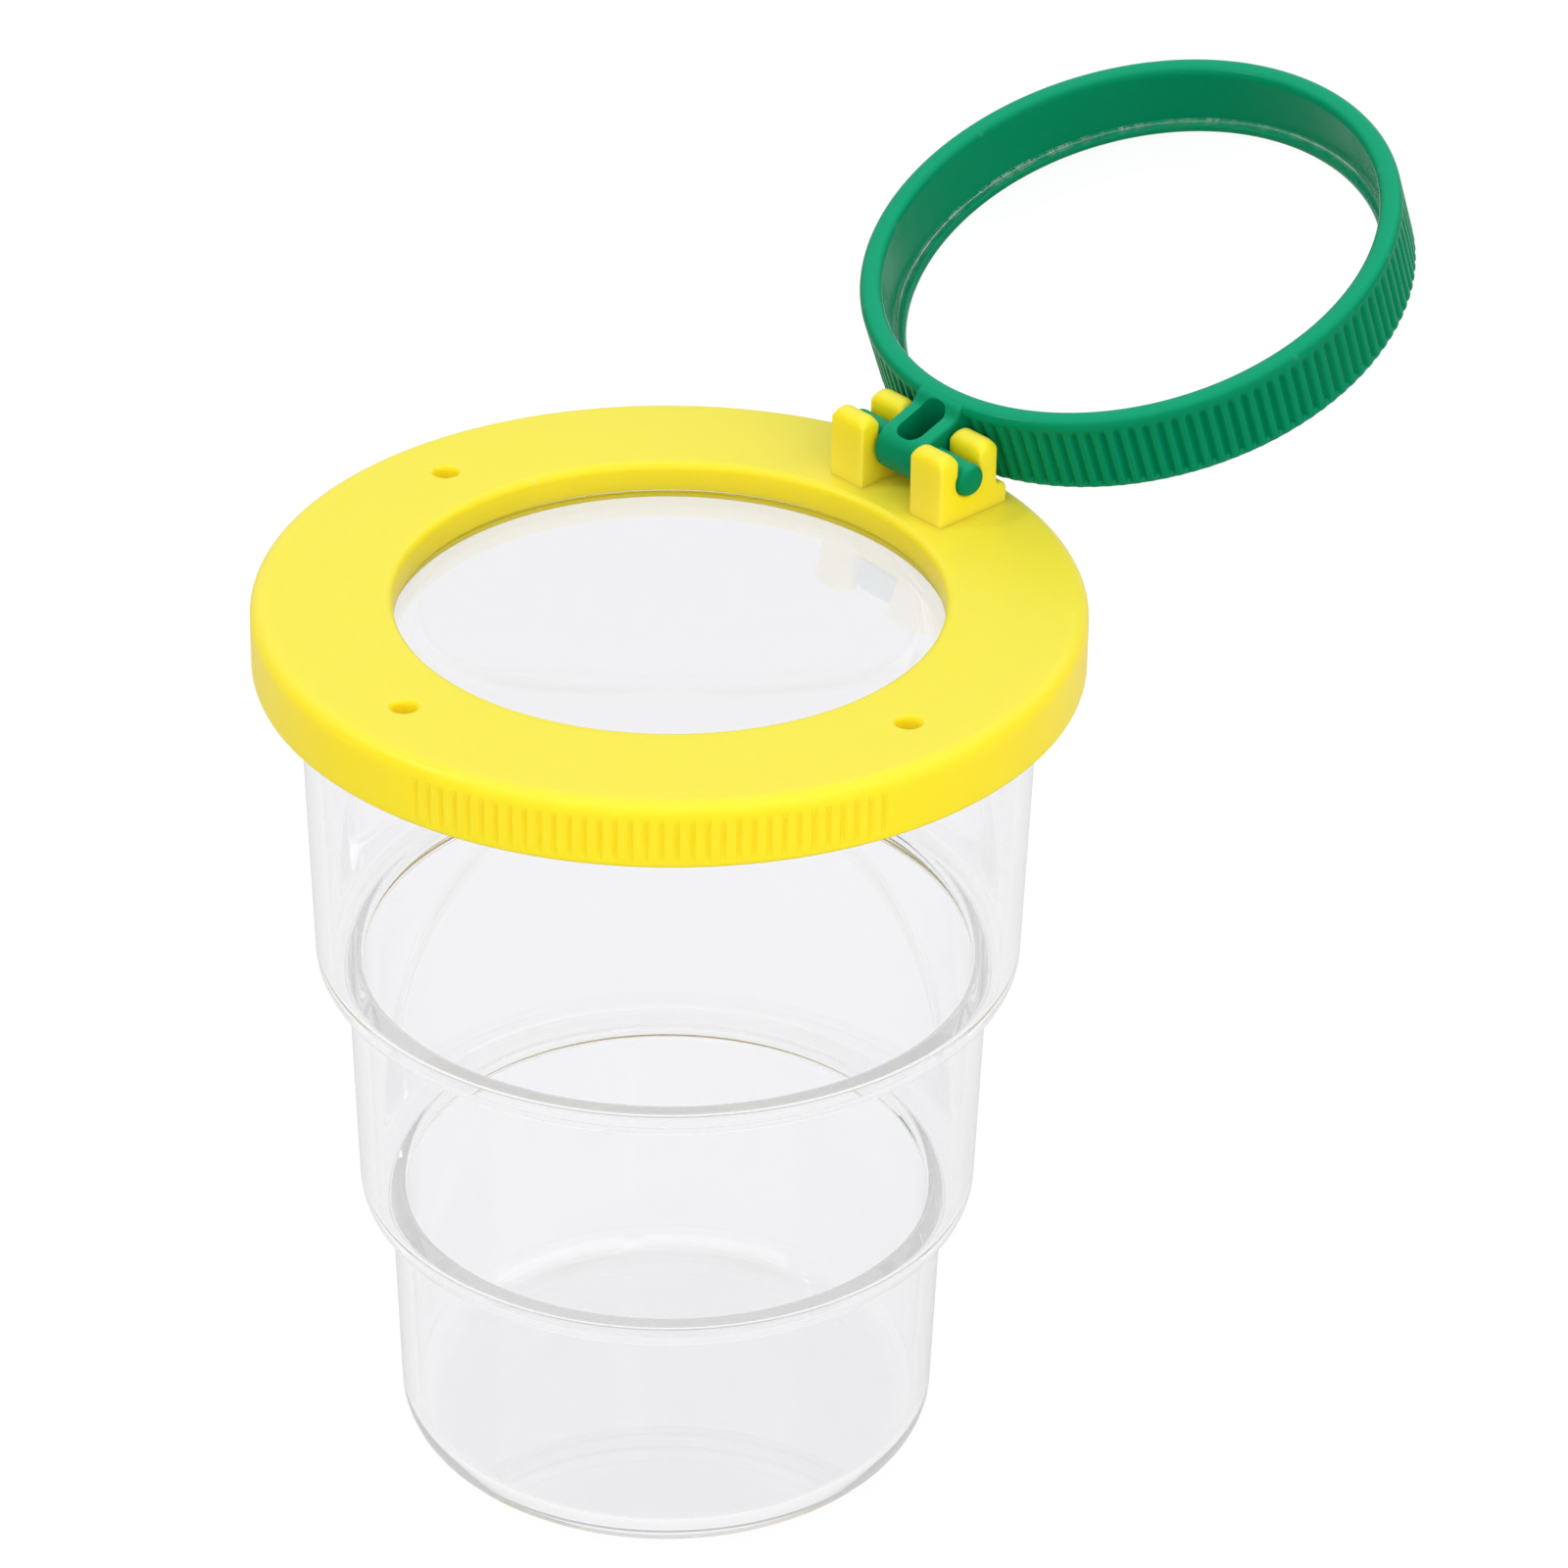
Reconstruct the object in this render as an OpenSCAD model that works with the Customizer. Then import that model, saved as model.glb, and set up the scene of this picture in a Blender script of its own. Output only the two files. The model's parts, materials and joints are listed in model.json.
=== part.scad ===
// Bug catcher jar: a clear stepped cup, a press-on lid with a large lens in it,
// and a second lens in a ribbed ring that hinges on two clips of the lid.
// Millimetres. The origin is at the middle of the jar's base, +Z is up,
// and the hinge lies towards +Y.

/* [Jar] */
// Height of the jar from its base to its mouth
jar_h = 91.8; // [75:0.1:130]
// Height of the lowest section, up to the lower ledge
low_h = 27; // [18:0.1:34]
// Height of the middle section, from ledge to ledge
mid_h = 27; // [18:0.1:34]
// How far each section stands out over the one below
ledge_w = 2.95; // [2.3:0.05:4]
// Draft of the walls, in degrees
draft = 2; // [0.5:0.1:3]
// Thickness of the walls
jar_wall = 1.6; // [1.2:0.1:2]
// Thickness of the floor and of the two ledges
floor_t = 2; // [1.5:0.1:3]
// Outer rounding under the lowest section
base_round = 4.2; // [2.5:0.1:6]
// Outer rounding under the middle section, as a share of the ledge's width
mid_round_share = 0.78; // [0.5:0.01:0.8]
// Outer rounding under the top section, as a share of the ledge's width
top_round_share = 0.64; // [0.5:0.01:0.8]
// Rounding of the inner corners of the ledges, as a share of the ledge's width
inner_round_share = 0.27; // [0.1:0.01:0.4]
// Rounding in the outer corner below each ledge, as a share of the ledge's width
fillet_share = 0.17; // [0.05:0.01:0.18]
// How far the flange at the mouth stands out over the wall
flange_w = 1.7; // [1:0.05:2.5]
// Height of the flange round the mouth
flange_h = 2.4; // [1.5:0.1:3.5]
// Rounding of the mouth's edges
mouth_round = 0.4; // [0.2:0.1:0.6]

/* [Lid] */
// Outer radius of the lid
lid_r = 40; // [33:0.1:48]
// Height of the lid from its top face to the skirt's lower edge
lid_h = 6.7; // [5.4:0.1:10]
// Thickness of the lid's top
lid_plate = 2.2; // [1.8:0.1:2.6]
// Rounding of the lid's outer top edge
lid_round = 1.4; // [0.8:0.1:2]
// Thickness of the skirt
skirt_wall = 2.2; // [1.8:0.1:2.6]
// Running gap between the skirt and the jar's flange
lid_fit = 0.3; // [0.2:0.05:0.5]
// Width of the lid's flat top, from its edge to the viewing opening
rim_w = 13.6; // [11:0.1:16]
// Rounding of the opening's upper edge
opening_round = 0.8; // [0.4:0.1:1.2]
// Height of the lip under the lid's top, which the lens lies against
lip_h = 0.7; // [0.5:0.05:1.2]
// Rounding of the skirt's lower edges
skirt_round = 0.4; // [0.2:0.1:0.6]
// Diameter of an air hole
vent_d = 2.3; // [1.5:0.1:2.6]
// Place of the air holes between the collar and the jar's mouth, as a share of the way
vent_share = 0.78; // [0.4:0.01:0.78]

/* [Finger grips on the lid] */
// Number of grooves in each grip
grip_count = 33; // [9:2:37]
// Angle from groove to groove, in degrees
grip_pitch = 2.03; // [1.8:0.01:2.2]
// Radius of one groove
grip_r = 0.3; // [0.24:0.02:0.5]
// Depth of one groove
grip_depth = 0.28; // [0.2:0.02:0.4]
// Plain band left below the lid's rounded edge
grip_top_band = 0.5; // [0.3:0.1:1]
// Plain band left above the skirt's lower edge
grip_low_band = 0.7; // [0.5:0.1:1.2]

/* [Lens in the lid] */
// How far the lens reaches out under the opening's edge
lens_lap = 0.9; // [0.6:0.1:1.2]
// Thickness of the lens at its rim
lens_edge = 1.6; // [1.2:0.1:2.2]
// Width of the lens's flat rim that shows inside the opening
lens_rim_w = 1.1; // [0.3:0.1:2]
// Height of the upper dome above the rim
lens_top_sag = 1.8; // [1:0.1:2.5]
// Height of the lower dome under the rim
lens_low_sag = 0.4; // [0.2:0.1:2.5]
// Side clearance of a lens in its seat
lens_fit = 0.1; // [0.05:0.05:0.2]
// Wall of the collar that holds the lens
collar_wall = 1.4; // [1:0.1:1.8]
// How far the collar's bead reaches in under the lens
bead_w = 0.5; // [0.3:0.1:0.6]
// Height of the collar's bead
bead_h = 0.6; // [0.4:0.1:0.8]

/* [Hinge] */
// Place of the pin across the lid's flat top, as a share of its width
pin_share = 0.588; // [0.56:0.001:0.62]
// Radius of the pin
pin_r = 1.65; // [1.3:0.05:2]
// Running gap between the pin and its cradle
pin_fit = 0.05; // [0.03:0.01:0.1]
// How far the pin shows beyond each clip
pin_show = 0.55; // [0.2:0.05:1.5]
// Side gap between the arm and each clip
arm_fit = 0.25; // [0.15:0.05:0.4]
// Width of a clip along the pin
clip_w = 4.5; // [3.5:0.1:5.5]
// Wall of a clip beside the pin
clip_wall = 2.1; // [1.6:0.05:2.5]
// Height of the prongs' tips over the pin's middle
prong_top = 3.05; // [2.4:0.05:3.7]
// Opening between the prongs, as a share of the pin's diameter
clip_mouth_share = 0.88; // [0.8:0.01:0.95]
// Height of a clip's foot over the lid's top face
foot_h = 2.3; // [1.8:0.05:2.8]
// Gap between a clip's foot and the ring at the drawn angle
foot_fit = 0.42; // [0.3:0.02:0.6]

/* [Magnifier] */
// Angle from lying closed on the lid to the angle that is drawn, in degrees
open_angle = 160; // [140:1:160]
// Gap between the ring and the tips of the prongs that it passes
ring_fit = 0.1; // [0.1:0.02:0.4]
// Gap between the lid and the ring at the drawn angle
ring_lift = 0.84; // [0.7:0.02:1.2]
// Wall of the ring round its lens
ring_wall = 2.3; // [1.8:0.05:2.8]
// Height of the ring
ring_h = 8.5; // [7:0.1:10]
// Height of the rim face over the arm's face
rim_rise = 0.9; // [0.3:0.05:1.1]
// Least gap between the lid and the rim face when it lies closed
rim_fit = 0.5; // [0.3:0.05:0.8]
// Wall of the arm round the pin
arm_wall = 0.9; // [0.7:0.05:1.1]
// Width of the ledge that carries the lens
seat_w = 1; // [0.8:0.05:1.6]
// Thickness of the ledge that carries the lens
seat_t = 1.2; // [1:0.1:1.6]
// Rounding of the rim face's edges
rim_round = 0.8; // [0.2:0.05:0.85]
// Width of the arm
arm_w = 6.2; // [5:0.1:7.5]
// Width of the slot in the arm
slot_w = 2.7; // [2.1:0.1:3.3]
// Depth of the slot in the arm
slot_depth = 3.6; // [2.8:0.1:4.4]
// How far the slot starts behind the pin's middle
slot_back = 0.75; // [0.3:0.05:0.9]
// How far the slot's end lies from the pin's middle
slot_reach = 5; // [4:0.1:6]
// Number of ribs round the ring
rib_count = 120; // [60:4:132]
// Width of a groove between two ribs
rib_gap = 0.8; // [0.4:0.05:0.8]
// Depth of a groove between two ribs
rib_depth = 0.4; // [0.3:0.05:0.6]
// Plain band between the rim face and the ribs
rib_band = 0.9; // [0.5:0.1:1.5]

/* [Lens in the ring] */
// Thickness of the ring's lens at its rim
glass_edge = 1.2; // [1:0.1:1.6]
// Width of the lens's flat rim that shows inside the ledge
glass_rim_w = 0.4; // [0.2:0.1:1.2]
// Height of the dome on the side of the rim face
glass_sag_in = 2.2; // [1:0.1:2.4]
// Height of the dome on the outer side
glass_sag_out = 1.1; // [0.6:0.1:1.2]

/* [Hidden] */
// Sides of a full circle
round_fn = 160;
// Sides of a small hole or groove
small_fn = 32;
// Steps in the arc of one corner
corner_n = 6;
// Steps from the middle of a lens to its rim
dome_n = 14;
// Overrun of every cut beyond the face that it leaves by
over = 0.5;
// How deep a moulded foot or arm runs into what carries it
root = 0.6;
// Azimuths of the air holes; the fourth place holds the hinge
vent_angles = [0, 180, 270];
// Azimuths of the middles of the two finger grips
grip_angles = [-45, 135];

lean = tan(draft);
mid_z = low_h;
top_z = low_h + mid_h;
flange_r = lid_r - skirt_wall - lid_fit;
mouth_r = flange_r - flange_w;
top_r = mouth_r - (jar_h - top_z) * lean;
mid_r = top_r - ledge_w - mid_h * lean;
base_r = mid_r - ledge_w - low_h * lean;
mid_round = ledge_w * mid_round_share;
top_round = ledge_w * top_round_share;
inner_round = ledge_w * inner_round_share;
ledge_fillet = ledge_w * fillet_share;
lid_z = jar_h + lid_plate;
opening_r = lid_r - rim_w;
lens_recess = lid_plate + lip_h;
lid_lens_r = opening_r + lens_lap;
collar_bore_r = lid_lens_r + lens_fit;
collar_r = collar_bore_r + collar_wall;
bead_z = lens_recess + lens_edge + lens_fit;
collar_z = bead_z + bead_h;
bead_r = collar_bore_r - bead_w;
vent_ring_r = collar_r + (mouth_r - jar_wall - collar_r) * vent_share;

// The ring swings round the tips of the prongs, and the pin lies as low as the open ring lets it
rest_tilt = 180 - open_angle;
prong_out = pin_r + pin_fit + clip_wall;
clip_mouth = 2 * pin_r * clip_mouth_share;
prong_w = prong_out - clip_mouth / 2;
tip_r = prong_w / 2;
tip_y = prong_out - tip_r;
tip_z = prong_top - tip_r;
ring_gap = norm([tip_y, tip_z]) + tip_r + ring_fit;
pin_reach = lid_r - rim_w * pin_share;
ring_reach = pin_reach;
ring_r = ring_reach - ring_gap;
ring_bore_r = ring_r - ring_wall;
view_r = ring_bore_r - seat_w;
rim_drop = pin_r + arm_wall;
rim_z = -rim_drop - rim_rise;
far_z = rim_z + ring_h;
seat_z = far_z - seat_t;
glass_r = ring_bore_r - lens_fit;
pin_z = max(far_z * cos(rest_tilt) - ring_gap * sin(rest_tilt) + ring_lift, rim_fit - rim_z);
clip_in = arm_w / 2 + arm_fit;
pin_half_l = clip_in + clip_w + pin_show;
arm_len = ring_reach - (ring_r + ring_bore_r) / 2;
wall_at_clip = ring_reach - sqrt(ring_r * ring_r - clip_in * clip_in);
foot_reach = (wall_at_clip - foot_fit + (pin_z - foot_h) * sin(rest_tilt)) / cos(rest_tilt);
foot_out = min(foot_reach, lid_r - lid_round - pin_reach);

// Points of an arc about (x, y)
function arc(x, y, r, from, to, n = corner_n) =
    [for (i = [0 : n]) let (a = from + (to - from) * i / n) [x + r * cos(a), y + r * sin(a)]];

// Shift in radius between a drafted wall and the middle of a rounding that touches it
function inset(r) = r * (1 - sin(draft)) / cos(draft);

// Rounded outer corner where a wall of radius r at height z turns under its section
function under_corner(r, z, round) = arc(r - inset(round), z + round, round, -90, -draft);

// Rounded outer corner between a wall that ends at radius r and the ledge above it
function ledge_corner(r, z) = arc(r + inset(ledge_fillet), z - ledge_fillet, ledge_fillet, 180 - draft, 90);

// Inner side of a ledge, from its corner with the wall above to the wall below
function shelf(r_above, r_below, z) = concat(
    arc(r_above - inset(inner_round), z + inner_round, inner_round, -draft, -90),
    arc(r_below + inset(inner_round), z - inner_round, inner_round, 90, 180 - draft));

// Outline of one half of the jar's wall
function jar_outline() = concat(
    [[0, 0]],
    under_corner(base_r, 0, base_round),
    ledge_corner(mid_r - ledge_w, mid_z),
    under_corner(mid_r, mid_z, mid_round),
    ledge_corner(top_r - ledge_w, top_z),
    under_corner(top_r, top_z, top_round),
    [[mouth_r - flange_h * lean, jar_h - flange_h]],
    arc(flange_r - mouth_round, jar_h - flange_h + mouth_round, mouth_round, -90, 0),
    arc(flange_r - mouth_round, jar_h - mouth_round, mouth_round, 0, 90),
    arc(mouth_r - jar_wall + inset(mouth_round), jar_h - mouth_round, mouth_round, 90, 180 - draft),
    shelf(top_r - jar_wall + floor_t * lean, top_r - ledge_w - jar_wall + floor_t * lean, top_z + floor_t),
    shelf(mid_r - jar_wall + floor_t * lean, mid_r - ledge_w - jar_wall + floor_t * lean, mid_z + floor_t),
    arc(base_r - jar_wall + floor_t * lean - inset(base_round - jar_wall), floor_t + base_round - jar_wall,
        base_round - jar_wall, -draft, -90),
    [[0, floor_t]]);

// Height of a dome of radius r and height sag, at distance d from its middle
function dome(r, sag, d) =
    let (ball = (r * r + sag * sag) / (2 * sag)) sqrt(ball * ball - d * d) - ball + sag;

// A lens with its rim from height 0 to edge, flat over rim_w, and a dome on each side
module lens(r, rim_w, edge, sag_up, sag_down) {
    dome_r = r - rim_w;
    rotate_extrude($fn = round_fn)
        polygon(concat(
            [for (i = [0 : dome_n]) let (d = dome_r * i / dome_n) [d, -dome(dome_r, sag_down, d)]],
            [[r, 0], [r, edge]],
            [for (i = [dome_n : -1 : 0]) let (d = dome_r * i / dome_n) [d, edge + dome(dome_r, sag_up, d)]]));
}

// The clear cup
module jar() {
    color("gainsboro", 0.35)
        rotate_extrude($fn = round_fn)
            polygon(jar_outline());
}

// Outline of one half of the lid, measured from its top face
function lid_outline() = concat(
    arc(opening_r + opening_round, -opening_round, opening_round, 180, 90),
    arc(lid_r - lid_round, -lid_round, lid_round, 90, 0),
    arc(lid_r - skirt_round, skirt_round - lid_h, skirt_round, 0, -90),
    arc(lid_r - skirt_wall + skirt_round, skirt_round - lid_h, skirt_round, -90, -180),
    [[lid_r - skirt_wall, -lid_plate],
     [collar_r, -lid_plate],
     [collar_r, -collar_z],
     [bead_r, -collar_z],
     [bead_r, -bead_z],
     [collar_bore_r, -bead_z],
     [collar_bore_r, -lens_recess],
     [opening_r, -lens_recess]]);

// The grooves of one finger grip, centred on azimuth 0
module grip_grooves() {
    low = grip_low_band - lid_h;
    high = -lid_round - grip_top_band;
    for (i = [0 : grip_count - 1])
        rotate([0, 0, (i - (grip_count - 1) / 2) * grip_pitch])
            translate([lid_r + grip_r - grip_depth, 0, low])
                cylinder(r = grip_r, h = high - low, $fn = small_fn);
}

// One clip of the hinge, with the pin's middle at the origin and the clip from x = 0
module clip() {
    difference() {
        union() {
            translate([0, -prong_out, -pin_z - root])
                cube([clip_w, prong_out + foot_out, foot_h + root]);
            translate([0, -prong_out, -pin_z])
                cube([clip_w, 2 * prong_out, pin_z + tip_z]);
            for (side = [-1, 1])
                translate([0, side * tip_y, tip_z])
                    rotate([0, 90, 0])
                        cylinder(r = tip_r, h = clip_w, $fn = round_fn);
        }
        translate([-over, 0, 0])
            rotate([0, 90, 0])
                cylinder(r = pin_r + pin_fit, h = clip_w + 2 * over, $fn = round_fn);
        translate([-over, -clip_mouth / 2, 0])
            cube([clip_w + 2 * over, clip_mouth, prong_top + over]);
    }
}

// The lid, with its skirt, the collar of its lens, air holes, finger grips and clips
module lid() {
    color("gold")
        translate([0, 0, lid_z]) {
            difference() {
                rotate_extrude($fn = round_fn)
                    polygon(lid_outline());
                for (a = vent_angles)
                    rotate([0, 0, a])
                        translate([vent_ring_r, 0, -lid_plate - over])
                            cylinder(d = vent_d, h = lid_plate + 2 * over, $fn = small_fn);
                for (a = grip_angles)
                    rotate([0, 0, a])
                        grip_grooves();
            }
            for (x = [-clip_in - clip_w, clip_in])
                translate([x, pin_reach, pin_z])
                    clip();
        }
}

// The large lens, which lies against the underside of the opening's edge
module lid_lens() {
    color("white", 0.4)
        translate([0, 0, lid_z - lens_recess - lens_edge])
            lens(lid_lens_r, lens_lap + lens_rim_w, lens_edge, lens_top_sag, lens_low_sag);
}

// Puts what lies closed on the lid, drawn about the pin, at the drawn angle
module on_hinge() {
    translate([0, pin_reach, lid_z + pin_z])
        rotate([-open_angle, 0, 0])
            children();
}

// Outline of one half of the ring
function ring_outline() = concat(
    arc(ring_bore_r + rim_round, rim_z + rim_round, rim_round, 180, 270),
    arc(ring_r - rim_round, rim_z + rim_round, rim_round, -90, 0),
    [[ring_r, far_z],
     [view_r, far_z],
     [view_r, seat_z],
     [ring_bore_r, seat_z]]);

// The ring with the grooves between its ribs
module ribbed_ring() {
    difference() {
        rotate_extrude($fn = round_fn)
            polygon(ring_outline());
        for (i = [0 : rib_count - 1])
            rotate([0, 0, (i + 1 / 2) * 360 / rib_count])
                translate([ring_r - rib_depth, -rib_gap / 2, rim_z + rib_band])
                    cube([rib_depth + over, rib_gap, ring_h]);
    }
}

// Point of a circle about the origin where the line from (x, y) under it touches it
function touch(x, y, r) =
    let (a = atan2(y, x) + acos(r / norm([x, y]))) [r * cos(a), r * sin(a)];

// The arm, whose face rises to the rim face, and the pin that is moulded with it
module arm() {
    translate([-arm_w / 2, 0, 0])
        rotate([0, 90, 0])
            cylinder(r = rim_drop, h = arm_w, $fn = round_fn);
    translate([-arm_w / 2, -arm_len, -rim_drop])
        cube([arm_w, arm_len, 2 * rim_drop]);
    translate([-arm_w / 2, 0, 0])
        rotate([90, 0, 90])
            linear_extrude(arm_w)
                polygon([
                    [0, 0],
                    touch(-ring_gap, rim_z, rim_drop),
                    [-ring_gap, rim_z],
                    [-arm_len, rim_z],
                    [-arm_len, 0]]);
    translate([-pin_half_l, 0, 0])
        rotate([0, 90, 0])
            cylinder(r = pin_r, h = 2 * pin_half_l, $fn = round_fn);
}

// The blind slot in the arm's rim side, which ends in the ring's wall
module slot() {
    near = slot_w / 2 - slot_back;
    far = slot_w / 2 - slot_reach;
    translate([0, 0, rim_z - over]) {
        for (y = [-near, far])
            translate([0, y, 0])
                cylinder(d = slot_w, h = rim_rise + slot_depth + over, $fn = small_fn);
        translate([-slot_w / 2, far, 0])
            cube([slot_w, -near - far, rim_rise + slot_depth + over]);
    }
}

// The green ring, its arm and its pin, moulded in one
module magnifier_frame() {
    color("seagreen")
        on_hinge()
            difference() {
                union() {
                    translate([0, -ring_reach, 0])
                        ribbed_ring();
                    arm();
                }
                slot();
            }
}

// The small lens, which lies on the ring's ledge
module magnifier_lens() {
    color("white", 0.4)
        on_hinge()
            translate([0, -ring_reach, seat_z - glass_edge])
                lens(glass_r, glass_r - view_r + glass_rim_w, glass_edge, glass_sag_out, glass_sag_in);
}

jar();
lid();
lid_lens();
magnifier_frame();
magnifier_lens();
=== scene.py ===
"""A clear bug catcher jar with a yellow lens lid and a green hinged magnifier.

The pieces are modelled in millimetres and end up in metres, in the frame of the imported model.
"""

import json
import math
from itertools import product

import bmesh
import bpy
from bpy.props import FloatProperty, FloatVectorProperty, IntProperty, PointerProperty
from bpy.types import Operator, Panel, PropertyGroup
from mathutils import Matrix, Vector


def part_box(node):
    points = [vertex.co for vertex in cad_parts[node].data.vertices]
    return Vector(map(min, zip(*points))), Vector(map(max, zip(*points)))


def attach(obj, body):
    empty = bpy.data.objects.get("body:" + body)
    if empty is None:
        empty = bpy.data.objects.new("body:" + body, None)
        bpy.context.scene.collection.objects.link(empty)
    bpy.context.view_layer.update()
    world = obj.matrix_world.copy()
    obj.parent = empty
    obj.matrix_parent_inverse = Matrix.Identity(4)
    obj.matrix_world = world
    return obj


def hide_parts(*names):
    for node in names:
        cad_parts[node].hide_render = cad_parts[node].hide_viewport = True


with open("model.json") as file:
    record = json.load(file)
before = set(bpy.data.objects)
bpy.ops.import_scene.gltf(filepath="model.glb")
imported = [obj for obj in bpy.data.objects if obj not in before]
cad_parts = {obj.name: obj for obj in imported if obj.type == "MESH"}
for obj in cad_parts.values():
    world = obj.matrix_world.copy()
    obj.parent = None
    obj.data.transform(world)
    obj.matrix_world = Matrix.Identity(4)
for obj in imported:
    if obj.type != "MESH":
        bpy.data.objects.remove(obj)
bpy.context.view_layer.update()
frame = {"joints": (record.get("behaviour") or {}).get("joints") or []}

bl_info = {
    "name": "Bug catcher jar",
    "version": (1, 0, 0),
    "blender": (4, 5, 0),
    "location": "3D View > Sidebar > Bug Jar",
    "description": "Builds a clear insect jar with a lens in its lid and a hinged magnifier",
    "category": "Add Mesh",
}

MM = 0.001
JAR_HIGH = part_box("jar")[1]
LID_LOW, LID_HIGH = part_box("lid")
LID_LENS_LOW, LID_LENS_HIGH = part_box("lid_lens")
RING_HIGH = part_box("magnifier_frame")[1]
GLASS_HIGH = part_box("magnifier_lens")[1]
HINGE = next(joint for joint in frame["joints"] if joint["name"] == "magnifier_hinge")
PIN = Vector(HINGE["pos_m"])
MERGE = 0.001
CLOSE = 0.01
FULL_TURN = 2 * math.pi
UP = (0, 0, 1)
CENTRE = (0, 0, 0)

# Values that the groups of sizes don't hold: lengths in millimetres, angles, shares and counts.
OVERRUN = 1
SAME_ANGLE = 0.0001
BEVEL_ANGLE = math.radians(50)
SMOOTH_ANGLE = math.radians(32)
NORMAL_WEIGHT = 60
SCUFF_ROUGHNESS = 0.14
# Light that was mirrored more often than this inside clear plastic goes straight on.
TRAPPED_BOUNCES = 2.5
VENT_AZIMUTHS = (0, math.pi, -math.pi / 2)
VENT_COLUMNS = 40
PIN_COLUMNS = 56
CLIP_EDGE_SHARES = (0, 0.08, 0.3, 0.6, 1)
CLIP_TIP_SHARES = (0.5, 0.72, 1)
GRIP_FLANK = 0.45
GRIP_SHARES = (1.0, 0.8)
RIB_SLICES = 8
RIB_SHARES = (0.6, 1.0, 0.3)
RIB_EDGE = 0.1
RIB_REACH = 0.3
VIEW_ROUND = 0.25
FAR_ROUND = 0.45
LENS_ROUND = 0.15
RAMP_STEPS = 8
RAMP_IN_RIM = 0.3
RAMP_SINK = 0.03
DOME_STEPS = 16

# The studio, in metres and watts: each lamp's name, place, size and power.
FLOOR_SIZE = 8
FLOOR_DROP = 0.0004
LIT_POINT = Vector((0, 0, 0.07))
LAMPS = (
    ("Back soft box", (-0.95, 0.85, 0.85), 2.6, 7.5),
    ("Front soft box", (0.6, -1.2, 1.0), 2.2, 14.2),
    ("Right soft box", (1.3, 0.2, 0.55), 1.8, 12.0),
    ("Small lamp", (-0.6, -0.8, 1.2), 0.12, 3.0),
)


def a_length(description, default):
    """A length of a piece, in metres."""
    return FloatProperty(description=description, default=default, min=0, unit="LENGTH")


def an_angle(description, degrees):
    """An angle, given in degrees."""
    return FloatProperty(description=description, default=math.radians(degrees), subtype="ANGLE")


def a_count(description, default, least):
    """A whole number with its least value."""
    return IntProperty(description=description, default=default, min=least)


def a_colour(description, default):
    """A colour or tint."""
    return FloatVectorProperty(description=description, default=default, min=0, max=1, subtype="COLOR")


class JarSizes(PropertyGroup):
    """Sizes of the clear cup."""

    wall: a_length("Thickness of the walls", 0.0016)
    floor: a_length("Thickness of the floor and the ledges", 0.002)
    low_height: a_length("Height of the lowest section", 0.027)
    middle_height: a_length("Height of the middle section", 0.027)
    ledge: a_length("How far each section stands out", 0.00295)
    draft: an_angle("Lean of the walls", 2)
    flange_width: a_length("How far the mouth's flange stands out", 0.0017)
    flange_height: a_length("Height of the mouth's flange", 0.0024)
    base_round: a_length("Rounding under the lowest section", 0.0042)
    middle_round: a_length("Rounding under the middle section", 0.0023)
    top_round: a_length("Rounding under the top section", 0.0019)
    inner_round: a_length("Rounding of the ledges inside", 0.0008)
    small_round: a_length("Rounding of the mouth and below the ledges", 0.00045)
    columns: a_count("Faces round the jar", 256, 32)


class LidSizes(PropertyGroup):
    """Sizes of the yellow lid."""

    height: a_length("From the flat top to the skirt's edge", 0.0067)
    plate: a_length("Thickness of the flat top", 0.0022)
    skirt: a_length("Thickness of the skirt", 0.0022)
    edge_round: a_length("Rounding of the outer top edge", 0.0014)
    small_round: a_length("Rounding of the skirt's lower edge", 0.0004)
    rim_width: a_length("Width of the flat top", 0.0136)
    opening_round: a_length("Rounding of the opening's upper edge", 0.0008)
    lip: a_length("Height of the lip over the lens", 0.0007)
    collar: a_length("Wall of the collar round the lens", 0.0014)
    collar_height: a_length("From the flat top to the collar's edge", 0.0052)
    bead: a_length("How far the collar's bead reaches under the lens", 0.0005)
    bead_height: a_length("Height of the collar's bead", 0.0006)
    lens_fit: a_length("Gap round the lens", 0.0001)
    vent_radius: a_length("Radius of an air hole", 0.00115)
    vent_place: a_length("Radius of the circle of air holes", 0.03301)
    vent_flare: a_length("Soft edge of an air hole", 0.0003)
    grooves: a_count("Grooves in a finger grip", 33, 1)
    groove_pitch: an_angle("Angle from groove to groove", 2.03)
    groove_half: a_length("Half the width of a groove", 0.0003)
    groove_depth: a_length("Depth of a groove", 0.00028)
    groove_top: a_length("From the flat top to the grooves", 0.0016)
    groove_low: a_length("Plain band under the grooves", 0.0007)
    groove_end: a_length("Length of a groove's slanted end", 0.0008)
    grip_angle: an_angle("Azimuth of the middle of a grip", -45)
    plain_columns: a_count("Faces round the plain wall between the grips", 72, 8)


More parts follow.
